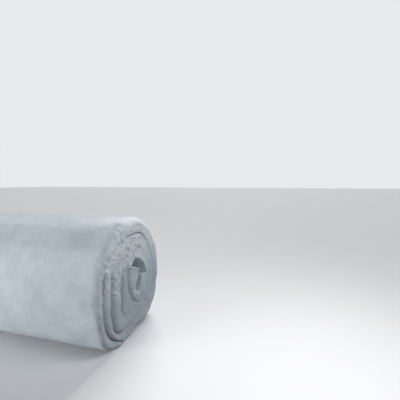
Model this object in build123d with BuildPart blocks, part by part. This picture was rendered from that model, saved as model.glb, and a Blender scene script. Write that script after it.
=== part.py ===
from build123d import *
import math
import os

# A roll of thick white insulation wool, lying on its side and sagged a little onto the floor.
# It is one long mat wound on itself: three turns and a bit, round a small loose hollow.
# X runs along the roll, and +X is the end seen in the picture. Y runs across it, away from
# the viewer, and Z is up. The origin is on the floor, under the middle of the roll.
# Every size is in millimetres, and places on an end are (y, z) about the roll's middle.

# The winding. The seam between two turns is half a circle above its own centre, and below
# it the turns sag like the roll's outside.
turns = 2  # whole turns between the first one and the roll's outside
layer = 77.0  # one turn to the next: a 100 mm mat squeezed by the winding
floor_layer = 74.0  # the same on the floor side, where the roll's weight squeezes it too
first_turn = 196.0  # radius of the first whole turn
first_depth = 188.0  # from the roll's middle down to the first turn's flat
seam_centre = (-10.0, -24.0)

# The roll, which is as big as its turns make it.
roll_length = 1200.0  # the width that the mat is sold in
roll_radius = first_turn + layer * turns  # it is round above its middle, and sags below
middle_height = first_depth + floor_layer * turns  # from the floor to its middle
contact_flat = 305.0  # width of the flat that it makes on the floor
corner_share = 0.85  # how much of the way in to a flat the small lower arc takes

# The roll's ends.
shoulder_round = 46.0  # rounding of the roll's outer edge
mouth_round = 10.0  # rounding of the hollow's edge
seam_width = 24.0  # opening between two turns
seam_depth = 34.0  # how far in the turns close up
seam_over = 6.0  # how far the cutting shape stands out past the end

# The mat's outer end, which thins out under the roll.
tail_tip = -115.0  # across from the roll's middle
tail_notch_width = 18.0  # the last seam's opening along the underside
tail_notch_depth = 40.0

# The hollow: an arch over the mat's inner end, which stands up in it as a tongue, and a slot
# down beside the tongue.
arch_foot = (-12.0, 60.0)
tongue_top = (58.0, 22.0)
slot_front = (18.0, -76.0)
slot_bottom = (52.0, -108.0)
slot_back = (86.0, -90.0)
slot_shoulder = (121.0, -30.0)
hollow_back = (165.0, -34.0)
arch_side = (130.0, 46.0)
arch_peak = (24.0, 106.0)
hollow_corner = 12.0  # rounding of the hollow's corners
fold_height = 30.0  # the tongue's far side stands upright as far as this


def turn_front(turn):
    return (seam_centre[0] - first_turn - layer * turn, seam_centre[1])


def turn_back(turn):
    return (seam_centre[0] + first_turn + layer * turn, seam_centre[1])


# The flat of a turn on the floor side shrinks quickly further in.
def half_flat(depth):
    return contact_flat / 2 * (depth / middle_height) ** 2


# Two arcs that join upright at a side point and level at a floor point, a wide one along the
# longer way and a tighter one along the shorter. Drawn either way round.
def sagging_arcs(start, end):
    side, floor = (start, end) if end[1] < start[1] else (end, start)
    wide = abs(side[0] - floor[0])
    high = side[1] - floor[1]
    inwards = math.copysign(1, floor[0] - side[0])
    corner = corner_share * wide if high > wide else wide / corner_share
    bulge = (wide**2 + high**2 - 2 * high * corner) / (2 * (wide - corner))
    bulge_centre = Vector(side[0] + inwards * bulge, side[1])
    corner_centre = Vector(floor[0], floor[1] + corner)
    outwards = math.copysign(bulge, bulge - corner)
    meeting = bulge_centre + (corner_centre - bulge_centre).normalized() * outwards
    first = TangentArc(start, meeting, tangent=(0, -1) if start == side else (1, 0))
    TangentArc(meeting, end, tangent=first % 1)


def end_plane(side):
    return Plane(origin=(side * roll_length / 2, 0, middle_height), x_dir=(0, 1, 0), z_dir=(1, 0, 0))


roll_front = (-roll_radius, 0)
roll_back = (roll_radius, 0)
flat_front = (-contact_flat / 2, -middle_height)
flat_back = (contact_flat / 2, -middle_height)
tip = (tail_tip, -middle_height)
fold_front = (turn_front(-1)[0], fold_height)

# The seam's path over an end of the roll. It starts in the hollow, at the back of the tongue.
with BuildLine() as seam:
    TangentArc(arch_foot, fold_front, tangent=(0, 1), tangent_from_first=False)
    Line(fold_front, turn_front(-1))
    for turn in range(turns):
        depth = first_depth + floor_layer * turn
        floor_front = (seam_centre[0] - half_flat(depth), -depth)
        floor_back = (seam_centre[0] + half_flat(depth), -depth)
        sagging_arcs(turn_front(turn - 1), floor_front)
        Line(floor_front, floor_back)
        sagging_arcs(floor_back, turn_back(turn))
        TangentArc(turn_back(turn), turn_front(turn), tangent=(0, 1))
    last_arc = TangentArc(turn_front(turns - 1), tip, tangent=(0, -1))

# The groove between two turns, cut along that path and narrowing inwards.
seam_path = seam.wires()[0]
with BuildPart() as groove:
    with BuildSketch(Plane(origin=seam_path @ 0, x_dir=(0, 0, 1), z_dir=seam_path % 0)):
        with BuildLine():
            Polyline(
                (seam_over, -seam_width / 2),
                (seam_over, seam_width / 2),
                (0, seam_width / 2),
                (-seam_depth, 0),
                (0, -seam_width / 2),
                close=True,
            )
        make_face()
    sweep(path=seam_path)
groove_here = end_plane(1).location * groove.part
groove_there = mirror(groove_here, about=Plane.YZ)

with BuildPart() as wool_roll:
    with BuildSketch(end_plane(-1)):
        with BuildLine():
            Line(flat_front, flat_back)
            sagging_arcs(flat_back, roll_back)
            TangentArc(roll_back, roll_front, tangent=(0, 1))
            sagging_arcs(roll_front, flat_front)
        make_face()
    extrude(amount=roll_length)
    fillet(wool_roll.faces().filter_by(Axis.X).edges(), shoulder_round)

    with BuildSketch(end_plane(-1)) as hollow:
        with BuildLine():
            Line(arch_foot, tongue_top)
            Line(tongue_top, slot_front)
            ThreePointArc(slot_front, slot_bottom, slot_back)
            Line(slot_back, slot_shoulder)
            Line(slot_shoulder, hollow_back)
            ThreePointArc(hollow_back, arch_side, arch_peak)
            Line(arch_peak, arch_foot)
        make_face()
        fillet(hollow.vertices(), hollow_corner)
    extrude(amount=roll_length, mode=Mode.SUBTRACT)
    mouths = [face.inner_wires().edges() for face in wool_roll.faces().filter_by(Axis.X)]
    fillet(mouths, mouth_round)

    # The last seam opens along the underside too.
    tip_slope = last_arc % 1
    notch_turn = math.degrees(math.atan2(tip_slope.Y, tip_slope.X))
    with BuildSketch(end_plane(-1)):
        with Locations(Location(tip, notch_turn)):
            Triangle(
                a=tail_notch_width,
                b=tail_notch_depth,
                c=tail_notch_depth,
                align=(Align.CENTER, Align.CENTER),
                rotation=90,
            )
    extrude(amount=roll_length, mode=Mode.SUBTRACT)

    add([groove_here, groove_there], mode=Mode.SUBTRACT)

wool_roll.part.label = "wool_roll"
os.makedirs("parts", exist_ok=True)
export_step(wool_roll.part, "parts/wool_roll.step")
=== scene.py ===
import math

import bpy
import numpy as np
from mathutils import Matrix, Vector, noise


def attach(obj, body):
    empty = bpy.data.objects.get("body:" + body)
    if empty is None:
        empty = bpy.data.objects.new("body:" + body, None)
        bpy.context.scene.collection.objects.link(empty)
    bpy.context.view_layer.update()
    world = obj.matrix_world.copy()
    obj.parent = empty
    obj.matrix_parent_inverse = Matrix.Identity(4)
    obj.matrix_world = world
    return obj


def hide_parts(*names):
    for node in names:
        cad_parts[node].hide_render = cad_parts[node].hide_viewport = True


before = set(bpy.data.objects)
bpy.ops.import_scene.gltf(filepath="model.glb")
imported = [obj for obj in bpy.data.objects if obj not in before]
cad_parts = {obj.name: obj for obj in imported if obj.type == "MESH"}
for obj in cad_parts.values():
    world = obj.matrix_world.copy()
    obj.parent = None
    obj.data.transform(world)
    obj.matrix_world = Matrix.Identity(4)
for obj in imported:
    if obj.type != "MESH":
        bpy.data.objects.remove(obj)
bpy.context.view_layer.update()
bpy.ops.object.select_all(action="DESELECT")

# One mat of wool, made flat at about its real size and then wound up by hand, turn on turn.
# Places on an end are (y, z) in metres from the roll's middle; x runs along the roll.
mat = {
    "length": 4.6,  # unrolled; the winding stretches it to fit, by about a twentieth
    "width": 1.2,
    "thickness": .09,
    "lengthBlocks": 10,  # cut first, and then each one is cut into cells
    "blockCells": 76,
    "middle": (0, .336),
    "rollRadius": .350,
    "floorFlat": .305,  # how wide the roll lies on the floor
    "cornerShare": .85,
    "layer": .077,
    "floorLayer": .074,
    "seamCentre": (-.010, -.024),
    "firstTurn": .196,
    "firstDepth": .188,
    "tailTip": -.115,
    "shoulder": .046,  # rounding of the roll's outer edge
    # rows across the width, from each end inwards
    "endRows": (0, .002, .005, .009, .014, .020, .027, .035, .044, .054, .068, .090),
    "middleRows": 12,
    # rows through the thickness
    "thickRows": (0, .02, .055, .1, .15, .2, .25, .3, .35, .4, .45, .5, .55, .6, .65, .7, .75,
                  .8, .85, .9, .945, .98, 1),
    # the winding: degrees from one step to the next, about how many metres between its
    # points, and points in an arc over the top
    "windStep": .25,
    "pointGap": .004,
    "overTopPoints": 120,
    # the hollow's corners are softened over this many steps, and less and less between these
    # angles, counted from the mat's inner end
    "softSteps": 23,
    "softUntil": (362, 370),
}

# The hollow in the middle, and the mat's inner end that stands up in it.
hollow = {
    "archFoot": (-.029, .065),
    "tongueTop": (.068, .030),
    "tongueSide": (.061, -.012),
    "slotFront": (.015, -.077),
    "slotBottom": (.054, -.111),
    "slotBack": (.092, -.086),
    "slotShoulder": (.117, -.028),
    "archBack": (.174, -.035),
    "archSide": (.136, .038),
    "archPeak": (.021, .106),
    "foldHeight": .030,
}

# How far each seam lies from the even spiral, how round its lips are, and how far it gapes.
# The first number is the angle round the seam's centre in degrees: 180 front, 270 floor,
# 360 back, 450 top, and so on outwards.
seamShift = ((97, 0), (134, .004), (149, -.010), (174, -.009), (200, -.003), (220, .006),
             (236, .011), (255, .005), (270, 0), (360, 0), (419, .006), (450, .002),
             (490, .014), (503, .036), (512, .027), (526, .013), (548, .007), (571, .021),
             (600, .012), (630, 0), (700, -.002), (735, -.008), (753, -.001), (767, .007),
             (782, .014), (790, .016), (797, .009), (806, .001), (817, -.003), (830, .001),
             (862, .008), (875, .023), (884, .012), (896, .002), (919, .018), (940, .020),
             (965, 0))
lipRound = ((97, .001), (146, .002), (156, .020), (165, .028), (214, .028), (228, .014),
            (242, .001), (404, .001), (414, .004), (424, .004), (432, .001), (505, .001),
            (510, .008), (520, .030), (560, .036), (590, .030), (622, .001), (690, .001),
            (704, .008), (800, .010), (818, .009), (826, .001), (868, .001), (874, .008),
            (884, .030), (930, .034), (955, .018), (975, .008))
lipOpen = ((97, 0), (150, 0), (158, .003), (214, .003), (236, 0), (508, 0), (520, .002),
           (590, .002), (620, 0), (698, 0), (715, .0035), (816, .0035), (826, 0), (868, 0),
           (885, .002), (945, .002), (970, .001))
# the rounding of the hollow's own edge, in the same way
mouthRound = ((97, .008), (150, .006), (230, .006), (296, .012), (320, .026), (338, .012),
              (357, .006), (400, .006))
gapHere = .0004  # kept clear on each side of a seam

# Creases that don't follow a seam: places along each, with the lips' radius there.
creases = {
    # down the near side of the tongue, and under its curled end
    "tongueEdge": ((-.022, .060, .008), (-.036, .058, .018), (-.050, .044, .028),
                   (-.053, .002, .030), (-.048, -.049, .030), (-.030, -.102, .024),
                   (.006, -.148, .016), (.052, -.178, .008), (.100, -.196, .002)),
    "hook": ((-.065, .262, .002), (-.061, .251, .008), (-.044, .245, .009), (-.027, .248, .004)),
    "tornSpot": ((-.136, .255, .003), (-.126, .242, .010), (-.117, .225, .012)),
    "pitLeft": ((-.107, .302, .002), (-.097, .280, .008), (-.085, .250, .003)),
    "pitLow": ((-.134, .184, .002), (-.140, .164, .008), (-.144, .140, .002)),
    "pitA": ((-.025, .225, .003), (-.014, .206, .007), (-.005, .189, .003)),
    "pitB": ((-.043, .200, .007), (-.043, .182, .008)),
    "pitC": ((-.059, .187, .004), (-.054, .174, .007), (-.052, .160, .003)),
    "pitD": ((-.006, .143, .003), (.003, .127, .008), (.014, .112, .007)),
    "pitE": ((-.093, .152, .003), (-.076, .142, .007), (-.042, .139, .003)),
    "pitF": ((-.117, .135, .008), (-.100, .134, .006)),
    "pitG": ((-.124, .207, .007), (-.133, .196, .003)),
    "pitH": ((.049, .156, .003), (.053, .137, .005)),
    "pleatA": ((.044, .300, .003), (.044, .274, .005)),
    "pleatB": ((.076, .302, .005), (.079, .259, .007)),
    "pleatC": ((.101, .296, .004), (.112, .256, .006)),
    "pleatD": ((.129, .262, .003), (.133, .242, .006)),
    "pleatE": ((.136, .104, .003), (.137, .080, .006)),
    "shortSeam": ((.037, .175, .003), (.065, .168, .007), (.094, .157, .010), (.110, .139, .004)),
    "lowSplit": ((.020, -.196, .002), (.050, -.204, .007), (.084, -.196, .002)),
}


def table(pairs, at):
    return np.interp(at, [p[0] for p in pairs], [p[1] for p in pairs])


def smoothStep(low, high, value):
    x = np.clip((value - low) / (high - low), 0, 1)
    return x * x * (3 - 2 * x)


def between(low, high, value, edge):
    return smoothStep(low - edge, low, value) * (1 - smoothStep(high, high + edge, value))


# A circle from start that leaves in the given direction and ends at end, as a row of points.
def arcPoints(start, end, direction, count=60):
    start, end, direction = (np.array(given, float) for given in (start, end, direction))
    direction /= np.linalg.norm(direction)
    side = np.array((-direction[1], direction[0]))
    chord = end - start
    radius = chord @ chord / (2 * (chord @ side))
    centre = start + side * radius
    a0 = math.atan2(*(start - centre)[::-1])
    a1 = math.atan2(*(end - centre)[::-1])
    turn = 1 if radius > 0 else -1
    while (a1 - a0) * turn < 0:
        a1 += turn * 2 * math.pi
    angles = np.linspace(a0, a1, count)
    points = centre + abs(radius) * np.stack((np.cos(angles), np.sin(angles)), 1)
    leaving = turn * np.array((-math.sin(a1), math.cos(a1)))
    return points, leaving


# Where a seam stands upright, at the front (way -1) or at the back (way 1).
def turnSide(turn, way):
    reach = mat["firstTurn"] + mat["layer"] * turn
    return (mat["seamCentre"][0] + way * reach, mat["seamCentre"][1])


# From an upright side to a level floor, or back: a long bulging arc and a short one.
def saggingPoints(start, end):
    side, floor = (start, end) if end[1] < start[1] else (end, start)
    wide = abs(side[0] - floor[0])
    high = side[1] - floor[1]
    inwards = math.copysign(1, floor[0] - side[0])
    corner = mat["cornerShare"] * wide
    bulge = (wide**2 + high**2 - 2 * high * corner) / (2 * (wide - corner))
    bulgeCentre = np.array((side[0] + inwards * bulge, side[1]))
    toCorner = np.array((floor[0], floor[1] + corner)) - bulgeCentre
    meeting = bulgeCentre + toCorner / np.linalg.norm(toCorner) * bulge
    first, leaving = arcPoints(start, meeting, (0, -1) if start == side else (1, 0))
    return [first, arcPoints(meeting, end, leaving)[0]]


# The spiral that the mat's outer face follows, on over the roll's own outline, as its
# distance from the seam's centre at each angle.
def windingTable():
    radius, floor = mat["rollRadius"], -mat["middle"][1]
    flatFront, flatBack = (-mat["floorFlat"] / 2, floor), (mat["floorFlat"] / 2, floor)
    tip = (mat["tailTip"], floor)
    foldFront = (turnSide(-1, -1)[0], hollow["foldHeight"])
    runs = [arcPoints(foldFront, hollow["archFoot"], (0, 1))[0][::-1]]
    for turn in (0, 1):
        depth = mat["firstDepth"] + mat["floorLayer"] * turn
        flat = mat["floorFlat"] / 2 * (depth / mat["middle"][1]) ** 2
        runs += saggingPoints(turnSide(turn - 1, -1), (mat["seamCentre"][0] - flat, -depth))
        runs += saggingPoints((mat["seamCentre"][0] + flat, -depth), turnSide(turn, 1))
        over = arcPoints(turnSide(turn, 1), turnSide(turn, -1), (0, 1), mat["overTopPoints"])
        runs.append(over[0])
    runs.append(arcPoints(turnSide(1, -1), tip, (0, -1))[0])
    runs += saggingPoints(flatBack, (radius, 0))
    runs.append(arcPoints((radius, 0), (-radius, 0), (0, 1), mat["overTopPoints"])[0])
    runs += saggingPoints((-radius, 0), flatFront)
    runs.append(np.array([flatFront, tip]))
    points = np.concatenate(runs) - mat["seamCentre"]
    # straight runs get points of their own, so that they stay straight
    filled = [points[:1]]
    for a, b in zip(points[:-1], points[1:]):
        steps = max(1, int(np.linalg.norm(b - a) / mat["pointGap"]))
        filled.append(a + (b - a) * (np.arange(1, steps + 1) / steps)[:, None])
    points = np.concatenate(filled)
    turned = np.degrees(np.unwrap(np.arctan2(points[:, 1], points[:, 0])))
    order = np.argsort(turned, kind="stable")
    return turned[order], np.linalg.norm(points, axis=1)[order]


windAngle, windReach = windingTable()
firstAngle, lastAngle = windAngle[0], windAngle[-1]
tailAngle = lastAngle - 360  # here the last seam comes out under the roll


def outerFace(angle):
    shift = table(seamShift, angle) * (angle < tailAngle)
    distance = np.interp(angle, windAngle, windReach) + shift
    turn = np.radians(angle)
    return np.stack((distance * np.cos(turn), distance * np.sin(turn)), -1) + mat["seamCentre"]


def lineBetween(a, c, share):
    return np.array(a) + (np.array(c) - a) * share[:, None]


def arcThrough(a, b, c, share):
    a, b, c = np.array(a), np.array(b), np.array(c)
    halves = [(b @ b - a @ a) / 2, (c @ c - a @ a) / 2]
    middle = np.linalg.solve(np.array((b - a, c - a)), halves)
    turns = [math.atan2(*(p - middle)[::-1]) for p in (a, c)]
    turns[1] = turns[0] + (turns[1] - turns[0]) % (2 * math.pi)
    angles = turns[0] + (turns[1] - turns[0]) * share
    return middle + np.linalg.norm(a - middle) * np.stack((np.cos(angles), np.sin(angles)), 1)


# The hollow's side of the first turn: down the tongue, round the slot, up to the shoulder,
# and over the arch back to the tongue. Each run has the angle where it ends.
def hollowFace(angle):
    runs = ((150, lineBetween, ("tongueTop", "tongueSide")),
            (230, lineBetween, ("tongueSide", "slotFront")),
            (312, arcThrough, ("slotFront", "slotBottom", "slotBack")),
            (342, lineBetween, ("slotBack", "slotShoulder")),
            (357, lineBetween, ("slotShoulder", "archBack")),
            (430, arcThrough, ("archBack", "archSide", "archPeak")),
            (firstAngle + 361, lineBetween, ("archPeak", "archFoot")))
    face, begin = np.zeros((len(angle), 2)), firstAngle
    for end, shape, names in runs:
        here = (angle >= begin) & (angle < end)
        share = (angle[here] - begin) / (end - begin)
        face[here] = shape(*(hollow[name] for name in names), share)
        begin = end
    return face


# Both faces of the mat, step by step along the winding, and the line midway between them.
print("winding: from", round(firstAngle), "to", round(lastAngle), "degrees")
grid = np.arange(firstAngle, lastAngle, mat["windStep"])
outer = outerFace(grid)
inner = outerFace(grid - 360)
onHollow = grid < firstAngle + 360
inner[onHollow] = hollowFace(grid[onHollow])
blur = np.hanning(mat["softSteps"])
blur /= blur.sum()
longer = np.pad(inner, ((mat["softSteps"] // 2,) * 2, (0, 0)), mode="edge")
softened = np.stack([np.convolve(longer[:, k], blur, mode="valid") for k in (0, 1)], 1)
softFull, softGone = mat["softUntil"]
sharp = smoothStep(firstAngle + softFull, firstAngle + softGone, grid)[:, None]
inner = softened * (1 - sharp) + inner * sharp
middleLine = (outer + inner) / 2
midSteps = np.linalg.norm(np.diff(middleLine, axis=0), axis=1)
midLength = np.concatenate(([0], np.cumsum(midSteps)))
thick = np.linalg.norm(outer - inner, axis=1)
print("mat: about", round(float(midLength[-1]), 2), "m long")


# Rounds the corner between two faces: both numbers are distances in from those faces.
def roundCorner(a, b, radius):
    inCorner = (a < radius) & (b < radius) & (radius > 1e-6)
    da, db = a - radius, b - radius
    far = np.hypot(da, db) + 1e-9
    roundedA = np.where(inCorner, radius + da / far * radius, a)
    return roundedA, np.where(inCorner, radius + db / far * radius, b)


def lumps(points, size, seed, octaves=1):
    shift = Vector((seed * 7.31, seed * 3.77, seed * 5.19))
    if octaves == 1:
        return np.array([noise.noise(Vector(p) / size + shift) for p in points])
    return np.array([noise.fractal(Vector(p) / size + shift, 1.0, 2.0, octaves) for p in points])


# The flat mat: a block, cut into rows along, across and through.
def cutRows(piece, axis, cuts):
    mesh = piece.data
    ends = np.empty(len(mesh.edges) * 2, np.int32)
    mesh.edges.foreach_get("vertices", ends)
    ends = ends.reshape(-1, 2)
    co = np.empty(len(mesh.vertices) * 3)
    mesh.vertices.foreach_get("co", co)
    co = co.reshape(-1, 3)
    along = np.abs(co[ends[:, 1]] - co[ends[:, 0]]).argmax(1) == axis
    bpy.ops.object.mode_set(mode="EDIT")
    bpy.ops.mesh.select_mode(type="EDGE")
    bpy.ops.mesh.select_all(action="DESELECT")
    bpy.ops.object.mode_set(mode="OBJECT")
    mesh.edges.foreach_set("select", along)
    bpy.ops.object.mode_set(mode="EDIT")
    bpy.ops.mesh.subdivide(number_cuts=cuts)
    bpy.ops.object.mode_set(mode="OBJECT")


bpy.ops.mesh.primitive_cube_add(size=1, location=(mat["length"] / 2, 0, mat["thickness"] / 2))
woundMat = bpy.context.object
woundMat.name = "woundMat"
woundMat.scale = (mat["length"], mat["width"], mat["thickness"])
bpy.ops.object.transform_apply(location=True, rotation=True, scale=True)
acrossRows = 2 * (len(mat["endRows"]) - 1) + mat["middleRows"]
throughRows = len(mat["thickRows"]) - 1
cutRows(woundMat, 2, throughRows - 1)
cutRows(woundMat, 1, acrossRows - 1)
cutRows(woundMat, 0, mat["lengthBlocks"] - 1)
cutRows(woundMat, 0, mat["blockCells"] - 1)
print("flat mat:", len(woundMat.data.polygons), "faces")

# Each point's place on the flat mat: along it, in from the nearer end, and through it.
flat = np.empty(len(woundMat.data.vertices) * 3)
woundMat.data.vertices.foreach_get("co", flat)
flat = flat.reshape(-1, 3)
middleStep = (mat["width"] - 2 * mat["endRows"][-1]) / mat["middleRows"]
acrossTable = list(mat["endRows"])
acrossTable += [mat["endRows"][-1] + middleStep * (i + 1) for i in range(mat["middleRows"] - 1)]
acrossTable += [mat["width"] - row for row in mat["endRows"][::-1]]
acrossRow = (flat[:, 1] / mat["width"] + .5) * acrossRows
across = np.interp(acrossRow, range(acrossRows + 1), acrossTable) - mat["width"] / 2
throughRow = flat[:, 2] / mat["thickness"] * throughRows
through = np.interp(throughRow, range(throughRows + 1), mat["thickRows"])
endSide = np.where(across > 0, 1.0, -1.0)
farSide = (across < 0).astype(float)  # the end that the picture doesn't show
fromEnd = mat["width"] / 2 - np.abs(across)

place = flat[:, 0] / mat["length"] * midLength[-1]
angle = np.interp(place, midLength, grid)
thickHere = np.interp(place, midLength, thick)
fromInner = through * thickHere
fromOuter = (1 - through) * thickHere
onOutline = angle > tailAngle
onATurn = angle - 360 >= firstAngle  # the rest of the inner face looks into the hollow

# How round the mat's edges are on the ends, and how far its seams and creases go in.
edges = {
    "tail": .012,  # at the mat's outer end, under the roll
    "tailTurn": 20,  # degrees over which that grows into the roll's shoulder
    "sharper": .45,  # how much less round the shoulder is low down at the front
    "sharperFrom": (1250, 1285),
    "uneven": .3,
    "shoulderUneven": .08,
    "unevenSize": .16,
    "mostOfMat": .96,  # a turn's two lips take no more of its thickness
    "least": .001,
    "shadeFrom": (.003, .020),  # narrow lips shade their seam less
    "flatter": .3,  # wide lips dip less than they are wide
    "flatterFrom": (.012, .028),
    "tongueTop": .021,  # or the next share of the tongue's thickness, where that is less
    "tongueTopShare": .45,
    "tongueCorner": .013,  # between the tongue's top and the roll's end
    "tongueCornerTo": .06,
    "gapeReach": .028,  # how far in from the end a seam gapes
    "thinnest": .0012,
    "crease": 1.3,  # how much of its dip a crease takes out of the end
    "creaseReach": .03,
}
grown = smoothStep(tailAngle, tailAngle + edges["tailTurn"], angle)
shoulder = edges["tail"] + (mat["shoulder"] - edges["tail"]) * grown
shoulder *= 1 - edges["sharper"] * smoothStep(*edges["sharperFrom"], angle)
lipOut = np.where(onOutline, shoulder, table(lipRound, angle))
lipIn = np.where(onATurn, table(lipRound, angle - 360), table(mouthRound, angle))
wobble = lumps(np.stack((place, farSide * 3, farSide), 1), edges["unevenSize"], 3)
lipIn *= 1 + edges["uneven"] * wobble
lipOut *= 1 + np.where(onOutline, edges["shoulderUneven"], edges["uneven"]) * wobble
roomForLips = np.maximum(thickHere * edges["mostOfMat"], edges["least"])
crowd = np.maximum((lipIn + lipOut) / roomForLips, 1)
lipIn, lipOut = lipIn / crowd, lipOut / crowd

# how near each point is to a seam, in shares of that seam's lip
toOuter = np.where(onOutline, 0, 1 - fromOuter / np.maximum(lipOut, edges["least"]))
toInner = np.where(onATurn, 1 - fromInner / np.maximum(lipIn, edges["least"]), 0)
widerLip = np.maximum(np.where(onOutline, 0, lipOut), lipIn)
nearSeam = np.clip(np.maximum(toOuter, toInner), 0, 1)
nearSeam *= smoothStep(*edges["shadeFrom"], widerLip)

inset, fromOuter = roundCorner(fromEnd, fromOuter, lipOut)
fromInner = thickHere - fromOuter
inset, fromInner = roundCorner(inset, fromInner, lipIn)
nearOuter = fromOuter < fromInner
lipHere = np.where(nearOuter, lipOut, lipIn)
flatter = 1 - edges["flatter"] * smoothStep(*edges["flatterFrom"], lipHere)
inset *= np.where(onOutline & nearOuter, 1, flatter)

# the tongue's top edge is round too
topRound = np.minimum(edges["tongueTop"], thickHere * edges["tongueTopShare"])
fromTop, fromInner = roundCorner(place, fromInner, topRound)
fromTop, below = roundCorner(fromTop, thickHere - fromInner, topRound)
fromInner = thickHere - below
cornerRound = np.where(place < edges["tongueCornerTo"], edges["tongueCorner"], 0)
inset, fromTop = roundCorner(inset, fromTop, cornerRound)
angleUp = np.interp(fromTop, midLength, grid)

# seams gape a little at the ends
gape = np.exp(-fromEnd / edges["gapeReach"])
openOut = np.where(onOutline, 0, table(lipOpen, angle) * gape + gapHere)
openIn = np.where(onATurn, table(lipOpen, angle - 360), 0) * gape + gapHere
share = np.clip(fromInner / np.maximum(thickHere, 1e-6), 0, 1)
depthIn = openIn + share * np.maximum(thickHere - openIn - openOut, edges["thinnest"])

outerHere = np.stack([np.interp(angleUp, grid, outer[:, k]) for k in (0, 1)], 1)
innerHere = np.stack([np.interp(angleUp, grid, inner[:, k]) for k in (0, 1)], 1)
way = outerHere - innerHere
way /= np.maximum(np.linalg.norm(way, axis=1), 1e-6)[:, None]
yz = innerHere + way * depthIn[:, None]


# How far a crease with two round lips dips at each place, and how near its line is. A crease
# with lips under fullRadius counts for less.
def creaseDip(yz, path, fullRadius=.008):
    path = np.array(path)
    nearest, radius = np.full(len(yz), np.inf), np.zeros(len(yz))
    for a, b in zip(path[:-1], path[1:]):
        run = b[:2] - a[:2]
        share = np.clip((yz - a[:2]) @ run / (run @ run), 0, 1)
        off = np.linalg.norm(yz - a[:2] - share[:, None] * run, axis=1)
        closer = off < nearest
        nearest = np.where(closer, off, nearest)
        radius = np.where(closer, a[2] + (b[2] - a[2]) * share, radius)
    inside = nearest < radius
    dip = radius - np.sqrt(np.maximum(radius**2 - (radius - nearest) ** 2, 0))
    near = (1 - nearest / np.maximum(radius, 1e-6)) * np.minimum(radius / fullRadius, 1)
    return np.where(inside, dip, 0), np.where(inside, near, 0)


dip, creaseNear = np.zeros(len(yz)), np.zeros(len(yz))
for path in creases.values():
    oneDip, oneNear = creaseDip(yz, path)
    dip, creaseNear = np.maximum(dip, oneDip), np.maximum(creaseNear, oneNear)
inset = inset + edges["crease"] * dip * np.exp(-fromEnd / edges["creaseReach"])

x = endSide * (mat["width"] / 2 - inset)
points = np.column_stack((x, yz + mat["middle"]))
print("wound up:", np.round(points.min(0), 3), np.round(points.max(0), 3))

# Hand-worked shape: soft dents and long folds round the outside, and lumps, pleats and torn
# tufts on the ends. Each kind has its height, and its size is about how wide it is. Parts of
# an end are told by their bearing in degrees, and in metres from the roll's middle.
relief = {
    "dent": .0045,
    "dentSize": .21,
    "fold": .0040,
    "foldSize": .050,
    "foldStretch": (.16, 1, 1),
    "foldFrom": (.25, .33),
    "shoulderFold": .008,  # one long soft fold over the front's upper part
    "shoulderFoldAt": 132,
    "shoulderFoldWidth": 8,
    "shoulderFoldSway": (3, 4),  # degrees, and radians for each metre along
    "belly": .004,
    "turnStep": .006,
    "turnStepSize": .45,
    "lump": .005,
    "lumpSize": .07,
    "pleat": .0030,
    "pleatSize": .013,
    "tuft": .0055,
    "scar": .0045,
    "tornSize": .018,
    "tornLeast": .16,  # torn this much all over the ends
    "fluff": .010,
    "fluffWider": 1.6,
    "endReach": .05,
    "outside": .34,
    "clearOfFloor": .07,
}
fromMiddle = np.linalg.norm(yz, axis=1)
radial = np.column_stack((np.zeros(len(yz)), yz)) / np.maximum(fromMiddle, 1e-6)[:, None]
outness = np.clip(fromMiddle / relief["outside"], 0, 1) ** 2
lifted = smoothStep(0, relief["clearOfFloor"], points[:, 2])
bearing = np.degrees(np.arctan2(yz[:, 1], yz[:, 0])) % 360  # 90 is the top, 180 the front
onEnd = np.exp(-fromEnd / relief["endReach"])
acrossShare = np.clip(depthIn / np.maximum(thickHere, 1e-6), 0, 1)
dents = relief["dent"] * lumps(points, relief["dentSize"], 1)
folds = relief["fold"] * lumps(points * relief["foldStretch"], relief["foldSize"], 2, 2)
dents += folds * smoothStep(*relief["foldFrom"], fromMiddle)
swayFar, swayOften = relief["shoulderFoldSway"]
offFold = bearing - relief["shoulderFoldAt"] - swayFar * np.sin(points[:, 0] * swayOften)
foldHere = np.exp(-(offFold / relief["shoulderFoldWidth"]) ** 2) * outness
dents -= relief["shoulderFold"] * foldHere * (1 + .4 * onEnd)
onMat = np.stack((place, farSide * 5, depthIn), 1)
onFace = np.column_stack((yz, farSide * 5))
shows = smoothStep(.004, .02, lipIn * (1 - acrossShare) + lipOut * acrossShare)
belly = relief["belly"] * (1 - (2 * acrossShare - 1) ** 2) * shows
alongMat = np.stack((place, farSide * 2, place * 0), 1)
step = relief["turnStep"] * lumps(alongMat, relief["turnStepSize"], 5) * shows
lumpy = relief["lump"] * lumps(onFace, relief["lumpSize"], 6, 3)

# short pleats across the outer turn over the top, and across the second one at the front
pleated = between(62, 118, bearing, 14) * smoothStep(.24, .28, fromMiddle)
atFront = 1.2 * between(166, 190, bearing, 8)
pleated = np.maximum(pleated, atFront * between(.15, .20, fromMiddle, .015))
ridges = 1 - np.abs(lumps(onMat * (1, 1, .22), relief["pleatSize"], 7)) * 3.2
pleats = -relief["pleat"] * np.clip(ridges, -.2, 1) * pleated
# torn tufts and scars over the upper front, and fewer elsewhere
torn = between(75, 168, bearing, 26) * (1 - smoothStep(.30, .345, fromMiddle))
torn = np.maximum(torn * smoothStep(.07, .12, fromMiddle), relief["tornLeast"])
tuftShape = lumps(onFace * (1.3, 1, 1), relief["tornSize"], 8, 3)
tufts = -relief["tuft"] * smoothStep(.0, .6, tuftShape) * torn
scarShape = 1 - np.abs(lumps(onMat * (.45, 1, 1), relief["tornSize"], 9, 2)) * 2.6
scars = -relief["scar"] * smoothStep(.66, 1, scarShape) * torn
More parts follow.
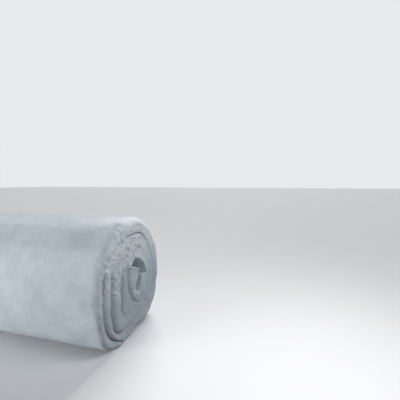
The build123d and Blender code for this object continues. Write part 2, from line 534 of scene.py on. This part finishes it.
# loose fluff that stands out and shows white: y, z and radius along each piece
fluffs = (
    ((-.132, .308, .003), (-.116, .276, .007), (-.103, .243, .009)),
    ((-.062, .289, .003), (-.057, .267, .004)),
    ((-.050, .258, .005), (-.049, .253, .004)),
    ((-.022, .240, .005), (.014, .234, .006)),
    ((.065, .234, .004), (.096, .222, .006), (.140, .188, .004)),
    ((-.150, .250, .003), (-.141, .228, .004)),
    ((-.146, .208, .004), (-.148, .192, .009), (-.149, .176, .004)),
    ((-.055, .212, .003), (-.050, .198, .005)),
    ((-.057, .196, .004), (-.041, .176, .006)),
    ((-.028, .143, .003), (-.014, .123, .008), (-.002, .107, .006)),
    ((.028, .116, .005), (.039, .120, .004)),
    ((.063, .106, .003), (.087, .086, .005)),
    ((.008, -.088, .005), (.046, -.122, .008)),
    ((-.274, .116, .004), (-.258, .104, .012), (-.252, .076, .006)),
    ((-.100, .156, .005), (-.094, .140, .005)),
    ((-.040, .066, .004), (.006, .054, .006), (.060, .026, .006)),
)
fluffy = np.zeros(len(yz))
for path in fluffs:
    wider = [(y, z, radius * relief["fluffWider"]) for y, z, radius in path]
    fluffy = np.maximum(fluffy, creaseDip(yz, wider)[1] ** .7)
outwards = (belly + step + lumpy + pleats + tufts + scars + relief["fluff"] * fluffy) * onEnd
points = points + radial * (dents * outness * lifted)[:, None]
points[:, 0] += endSide * outwards
points[:, 2] = np.maximum(points[:, 2], 0)
woundMat.data.vertices.foreach_set("co", points.ravel())

# How much whiter than the rest each part of the wool is, or greyer where that is taken off: the
# torn and fluffy wool's own tone, and painted light and shade by height, on the tongue, in the
# arch, under the top's edge and on the top turn; and the painted shade in seams, creases and the
# slot.
tones = {
    "evenHeight": .35,  # painted light above this height, and painted shade below it
    "heightReach": .20,
    "greyest": -.8,
    "white": .30,
    "grey": .22,
    "outerTurn": .6,  # the outer turn takes that much less of it at the front
    "torn": .08,
    "fluff": .80,
    # painted light inside the hollow's arch, standing in for the light that reaches in
    "arch": .60,
    "tongue": .10,  # painted shade taken off the tongue, and the next one also on its front half
    "tongueFront": .16,
    "tongueRim": .18,  # painted light added next to the hollow
    # painted highlight along the tongue's top edge, over this distance from it
    "tongueTop": .35,
    "tongueTopTo": .022,
    "upperFrontShade": .05,  # painted shade taken off under the edge of the top, and more near the ends
    "upperFrontEnd": .16,
    # painted light on the end's top turn
    "topTurnLight": .10,
    # painted shade in seams, creases and the slot
    "seam": .85,
    "crease": 1.35,
    "slot": .36,
    "slotShoulder": 1.6,  # that many times more painted shade there
    "faceShare": .2,  # how much of the thickness counts as the hollow's face
}
# painted light and shade by height: lighter towards the top, darker low down, and less of it on
# the outer turn at the front
outerTurn = smoothStep(.28, .32, fromMiddle) * (bearing > 100)
paintedLightByHeight = (points[:, 2] - tones["evenHeight"]) / tones["heightReach"]
paintedLightByHeight = np.clip(paintedLightByHeight, tones["greyest"], 1)
paintedLightByHeight *= 1 - tones["outerTurn"] * outerTurn
onHollowFace = through < tones["faceShare"]
# painted light inside the arch, on the hollow's face
archPaintedLight = (angle >= 345) & (angle < firstAngle + 362) & onHollowFace
archPaintedLight = archPaintedLight * smoothStep(.0, .02, fromEnd)
# painted light and shade on the tongue: shade over it and more on its front half, light at its
# rim by the hollow and along its top edge
paintedRimLight = tones["tongueRim"] * (1 - smoothStep(.03, .16, acrossShare))
tongueLightAndShade = paintedRimLight - tones["tongue"] - tones["tongueFront"] * smoothStep(.40, .80, acrossShare)
paintedTopLight = tones["tongueTop"] * (1 - smoothStep(.008, tones["tongueTopTo"], place))
tongueLightAndShade = between(97, 240, angle, 15) * np.where(place < tones["tongueTopTo"], paintedTopLight, tongueLightAndShade)
# painted light on the upper part of the end, plus the whiter wool where it is torn or fluffy, and
# the tongue's painted light and shade
white = tones["white"] * paintedLightByHeight * between(0, 125, bearing, 30)
white = (white + tones["torn"] * torn + tones["fluff"] * fluffy + tongueLightAndShade) * onEnd
# painted shade under the edge of the top, more near the ends
upperFrontShade = between(120, 137, bearing, 9) * smoothStep(.32, .345, fromMiddle)
fading = np.exp(-np.maximum(fromEnd - .05, 0) / .18)
white -= (tones["upperFrontShade"] + tones["upperFrontEnd"] * fading) * upperFrontShade
# painted light on the top turn of the end
topTurnLight = tones["topTurnLight"] * between(70, 104, bearing, 8)
white += topTurnLight * smoothStep(.26, .29, fromMiddle) * onEnd
# painted shade low down at the front of the end
low = tones["grey"] * np.minimum(paintedLightByHeight, 0) * smoothStep(115, 135, bearing) * onEnd
# painted shade in seams and creases, fading away from the ends
shade = np.minimum(np.maximum(tones["seam"] * nearSeam, tones["crease"] * creaseNear), 1)
shade *= np.exp(-np.maximum(fromEnd - .02, 0) / .02)
# painted shade in the slot, more on its shoulder
slotShade = ((angle < 360) & onHollowFace) * smoothStep(.004, .03, fromEnd)
slotShade = slotShade * np.where(angle > 325, tones["slotShoulder"], 1)

# What the material reads: each point's place on the mat, and then how far it is on a cut end, how
# white it is with its painted light and shade, how torn and how pleated the wool is there, and
# how much painted shade lies on it in a seam, a crease or the slot.
matPlace = woundMat.data.attributes.new("matPlace", "FLOAT_VECTOR", "POINT")
matPlace.data.foreach_set("vector", np.column_stack((place, across, depthIn)).ravel())
for name, values in (("cutEnd", 1 - smoothStep(.004, .05, fromEnd)),
                     ("toneAndPaintedLight", np.where(archPaintedLight > 0, tones["arch"] * archPaintedLight, white + low)),
                     ("tornWool", torn * onEnd),
                     ("pleatedWool", pleated * onEnd),
                     ("paintedSeamShade", np.maximum(shade, tones["slot"] * slotShade))):
    woundMat.data.attributes.new(name, "FLOAT", "POINT").data.foreach_set("value", values)

bpy.ops.object.mode_set(mode="EDIT")
bpy.ops.mesh.select_all(action="SELECT")
bpy.ops.mesh.normals_make_consistent(inside=False)
bpy.ops.object.mode_set(mode="OBJECT")
bpy.ops.object.shade_smooth()
print("mat shaped:", len(woundMat.data.polygons), "faces")


def addNode(tree, kind, **settings):
    node = tree.nodes.new(kind)
    for name, value in settings.items():
        if name in node.inputs:
            node.inputs[name].default_value = value
        else:
            setattr(node, name, value)
    return node


# The wool's look. A grain is stretched so many times for each metre along the mat, across it
# and through it.
wool = {
    "grains": {
        # cloudy patches, and matted fibres lying every way
        "clouds": {"stretch": (9, 9, 9), "detail": 3},
        "matted": {"stretch": (60, 60, 60), "detail": 6, "distortion": .6, "rough": .65},
        # long fibres that cross each other round the outside, and sheets on the cut ends
        "strandsA": {"stretch": (34, 420, 200), "turn": .5, "detail": 3, "distortion": .35},
        "strandsB": {"stretch": (420, 40, 200), "turn": .3, "detail": 3, "distortion": .35},
        "sheets": {"stretch": (16, 16, 260), "detail": 4, "distortion": .25},
        "fuzz": {"stretch": (700, 700, 700), "detail": 2},
        # short pleats, which run across the mat's thickness
        "pleats": {"stretch": (130, 14, 16), "detail": 3, "distortion": .5},
    },
    # loose fluff on torn places: pale flecks, with painted shade in the pits between them
    "flecks": {"stretch": (50, 105, 42), "detail": 5, "distortion": .8, "rough": .7},
    "pleatShare": .5,
    # how much of each goes into the tone, and into the bump
    "toneShares": (("clouds", .40), ("matted", .30), ("fine", .30), ("flecks", 2.8)),
    "bumpShares": (("matted", .9), ("fine", .5), ("fuzz", .12), ("flecks", 1.6)),
    "grey": (.472, .555, .622, 1),
    "greyAt": .32,
    "white": (.815, .892, .948, 1),
    "whiteAt": .80,
    # the colour of the painted shade in seams, creases and the slot, and how much of it goes in
    "seam": (.34, .37, .40, 1),
    "seamShadeMix": .60,
    "roughFrom": .86,
    "roughTo": 1.0,
    "bumpStrength": .8,
    "bumpDistance": .006,
    "sheen": .25,
    "sheenRoughness": .6,
    "specular": .2,
}


def woolMaterial():
    material = bpy.data.materials.new("insulationWool")
    material.use_nodes = True
    tree = material.node_tree
    link = tree.links.new
    surface = tree.nodes["Principled BSDF"]
    matPlace, cutEnd, tornWool, paintedSeamShade, toneAndPaintedLight, pleatedWool = (
        addNode(tree, "ShaderNodeAttribute", attribute_name=name)
        for name in ("matPlace", "cutEnd", "tornWool", "paintedSeamShade", "toneAndPaintedLight", "pleatedWool"))

    def noiseOver(vector, stretch, detail, turn=0.0, distortion=0.0, rough=.55):
        mapping = addNode(tree, "ShaderNodeMapping", Scale=stretch, Rotation=(0, 0, turn))
        grain = addNode(tree, "ShaderNodeTexNoise", Scale=1.0, Detail=detail, Roughness=rough,
                        Distortion=distortion)
        link(vector, mapping.inputs["Vector"])
        link(mapping.outputs["Vector"], grain.inputs["Vector"])
        return grain.outputs[0]

    def worked(a, how, b, clamp=False):
        node = addNode(tree, "ShaderNodeMath", operation=how, use_clamp=clamp)
        for slot, value in ((0, a), (1, b)):
            if isinstance(value, (int, float)):
                node.inputs[slot].default_value = value
            else:
                link(value, node.inputs[slot])
        return node.outputs[0]

    def addedUp(shares):
        total = None
        for name, amount in shares:
            part = worked(grains[name], "MULTIPLY", amount)
            total = part if total is None else worked(total, "ADD", part)
        return total

    grains = {name: noiseOver(matPlace.outputs["Vector"], **settings)
              for name, settings in wool["grains"].items()}
    inSpace = addNode(tree, "ShaderNodeTexCoord").outputs["Object"]
    flecks = noiseOver(inSpace, **wool["flecks"])

    # crossed fibres round the outside, and sheets on the cut ends
    fine = addNode(tree, "ShaderNodeMix", data_type="FLOAT")
    strands = worked(grains["strandsA"], "ADD", grains["strandsB"])
    link(cutEnd.outputs["Fac"], fine.inputs[0])
    link(worked(strands, "MULTIPLY", .5), fine.inputs[2])
    link(grains["sheets"], fine.inputs[3])
    grains["fine"] = fine.outputs[0]
    # the flecks and pleats go into the tone as well as the bump: painted light and shade that
    # follow the pits and the pleats' folds
    torn = worked(worked(flecks, "SUBTRACT", .5), "MULTIPLY", tornWool.outputs["Fac"])
    pleats = worked(grains["pleats"], "SUBTRACT", .5)
    pleats = worked(pleats, "MULTIPLY", pleatedWool.outputs["Fac"])
    grains["flecks"] = worked(torn, "ADD", worked(pleats, "MULTIPLY", wool["pleatShare"]))

    # the tone's colour, with painted shade in seams, creases and the slot
    ramp = addNode(tree, "ShaderNodeValToRGB")
    for stop, name in zip(ramp.color_ramp.elements, ("grey", "white")):
        stop.position = wool[name + "At"]
        stop.color = wool[name]
    link(worked(addedUp(wool["toneShares"]), "ADD", toneAndPaintedLight.outputs["Fac"]), ramp.inputs[0])
    shaded = addNode(tree, "ShaderNodeMix", data_type="RGBA")
    link(worked(paintedSeamShade.outputs["Fac"], "MULTIPLY", wool["seamShadeMix"], True), shaded.inputs[0])
    link(ramp.outputs[0], shaded.inputs[6])
    shaded.inputs[7].default_value = wool["seam"]
    link(shaded.outputs[2], surface.inputs["Base Color"])

    roughness = addNode(tree, "ShaderNodeMapRange")
    roughness.inputs[3].default_value = wool["roughFrom"]
    roughness.inputs[4].default_value = wool["roughTo"]
    link(grains["matted"], roughness.inputs[0])
    link(roughness.outputs[0], surface.inputs["Roughness"])

    bump = addNode(tree, "ShaderNodeBump", Strength=wool["bumpStrength"],
                   Distance=wool["bumpDistance"])
    link(addedUp(wool["bumpShares"]), bump.inputs["Height"])
    link(bump.outputs["Normal"], surface.inputs["Normal"])
    surface.inputs["Sheen Weight"].default_value = wool["sheen"]
    surface.inputs["Sheen Roughness"].default_value = wool["sheenRoughness"]
    surface.inputs["Specular IOR Level"].default_value = wool["specular"]
    return material


woundMat.data.materials.append(woolMaterial())
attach(woundMat, "root")
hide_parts("wool_roll")
print("material laid on")

# Studio: a pale floor, a soft sun behind, a lamp over the near end, and a wide one in front.
studio = {
    "floorSize": 80,
    "floorDrop": .0005,
    "sunFrom": (-.15, .8, .7),
    "sunStrength": 2.45,
    "sunSpread": 35,
    "overLamp": {"place": (1.98, -.28, 1.6), "size": .8, "power": 16.5,
                 "lookAt": (.6, .1, .4), "colour": (.97, .98, 1)},
    "fillLamp": {"place": (-2.1, -3.0, .35), "size": 2.0, "power": 162,
                 "lookAt": (0, 0, .35), "colour": (1, 1, 1)},
    "roomLight": .11,
    "roomColour": (.93, .96, 1, 1),
    "paleRoom": (.80, .815, .83, 1),
    "floorSeen": (.84, .85, .86, 1),
    "floorPatches": .97,  # its soft patches have this much of its colour
    "floorBounce": (.28, .28, .285, 1),
}


# Rays that see the room: the camera's, and those that come by way of a mirror or glass.
def seeingRays(tree):
    rays = addNode(tree, "ShaderNodeLightPath")
    seen = rays.outputs["Is Camera Ray"]
    for name in ("Is Glossy Ray", "Is Transmission Ray"):
        either = addNode(tree, "ShaderNodeMath", operation="MAXIMUM")
        tree.links.new(seen, either.inputs[0])
        tree.links.new(rays.outputs[name], either.inputs[1])
        seen = either.outputs[0]
    return seen


# The floor is pale where the camera sees it, and throws little light back onto the roll.
def floorMaterial():
    material = bpy.data.materials.new("paleFloor")
    material.use_nodes = True
    tree = material.node_tree
    surface = tree.nodes["Principled BSDF"]
    where = addNode(tree, "ShaderNodeTexCoord")
    grain = addNode(tree, "ShaderNodeTexNoise", Scale=3.0, Detail=4.0)
    ramp = addNode(tree, "ShaderNodeValToRGB")
    darker = [channel * studio["floorPatches"] for channel in studio["floorSeen"][:3]] + [1]
    ramp.color_ramp.elements[0].color = darker
    ramp.color_ramp.elements[1].color = studio["floorSeen"]
    tree.links.new(where.outputs["Object"], grain.inputs["Vector"])
    tree.links.new(grain.outputs[0], ramp.inputs[0])
    tree.links.new(ramp.outputs[0], surface.inputs["Base Color"])
    surface.inputs["Roughness"].default_value = .9
    bounce = addNode(tree, "ShaderNodeBsdfDiffuse", Color=studio["floorBounce"])
    pick = addNode(tree, "ShaderNodeMixShader")
    tree.links.new(seeingRays(tree), pick.inputs[0])
    tree.links.new(bounce.outputs[0], pick.inputs[1])
    tree.links.new(surface.outputs[0], pick.inputs[2])
    tree.links.new(pick.outputs[0], tree.nodes["Material Output"].inputs[0])
    return material


bpy.ops.object.select_all(action="DESELECT")
bpy.ops.mesh.primitive_plane_add(size=studio["floorSize"], location=(0, 0, -studio["floorDrop"]))
studioFloor = bpy.context.object
studioFloor.name = "studioFloor"
bpy.ops.object.transform_apply(location=True, rotation=True, scale=True)
studioFloor.data.materials.append(floorMaterial())


def areaLamp(name, place, size, power, lookAt, colour):
    lamp = bpy.data.lights.new(name, "AREA")
    lamp.color = colour
    lamp.shape = "SQUARE"
    lamp.size = size
    lamp.energy = power
    lampObject = bpy.data.objects.new(name, lamp)
    bpy.context.scene.collection.objects.link(lampObject)
    lampObject.location = place
    toObject = Vector(lookAt) - Vector(place)
    lampObject.rotation_euler = toObject.to_track_quat("-Z", "Y").to_euler()


sun = bpy.data.lights.new("softSun", "SUN")
sun.energy = studio["sunStrength"]
sun.angle = math.radians(studio["sunSpread"])
sunObject = bpy.data.objects.new("softSun", sun)
bpy.context.scene.collection.objects.link(sunObject)
sunObject.rotation_euler = Vector(studio["sunFrom"]).to_track_quat("Z", "Y").to_euler()
for name in ("overLamp", "fillLamp"):
    areaLamp(name, **studio[name])

room = bpy.data.worlds.new("paleRoom")
room.use_nodes = True
bpy.context.scene.world = room
roomTree = room.node_tree
background = roomTree.nodes["Background"]
background.inputs[0].default_value = studio["roomColour"]
background.inputs[1].default_value = studio["roomLight"]
seenRoom = addNode(roomTree, "ShaderNodeBackground")
seenRoom.inputs[0].default_value = studio["paleRoom"]
pick = addNode(roomTree, "ShaderNodeMixShader")
roomTree.links.new(seeingRays(roomTree), pick.inputs[0])
roomTree.links.new(background.outputs[0], pick.inputs[1])
roomTree.links.new(seenRoom.outputs[0], pick.inputs[2])
roomTree.links.new(pick.outputs[0], roomTree.nodes["World Output"].inputs[0])

# The camera stands where the picture was taken from.
view = {
    "lens": 24.3,
    "place": (1.398, -1.4075, .896),
    "ahead": (-.267, .964, 0),
    "pitch": math.atan(18 / 270),
}
camera = bpy.data.cameras.new("viewCamera")
camera.sensor_fit = "HORIZONTAL"
camera.sensor_width = 36
camera.lens = view["lens"]
cameraObject = bpy.data.objects.new("viewCamera", camera)
bpy.context.scene.collection.objects.link(cameraObject)
cameraObject.location = view["place"]
forward = Vector(view["ahead"]).normalized() * math.cos(view["pitch"])
forward -= Vector((0, 0, math.sin(view["pitch"])))
cameraObject.rotation_euler = forward.to_track_quat("-Z", "Y").to_euler()
bpy.context.scene.camera = cameraObject
bpy.context.scene.view_settings.view_transform = "Standard"
print("studio and camera set")
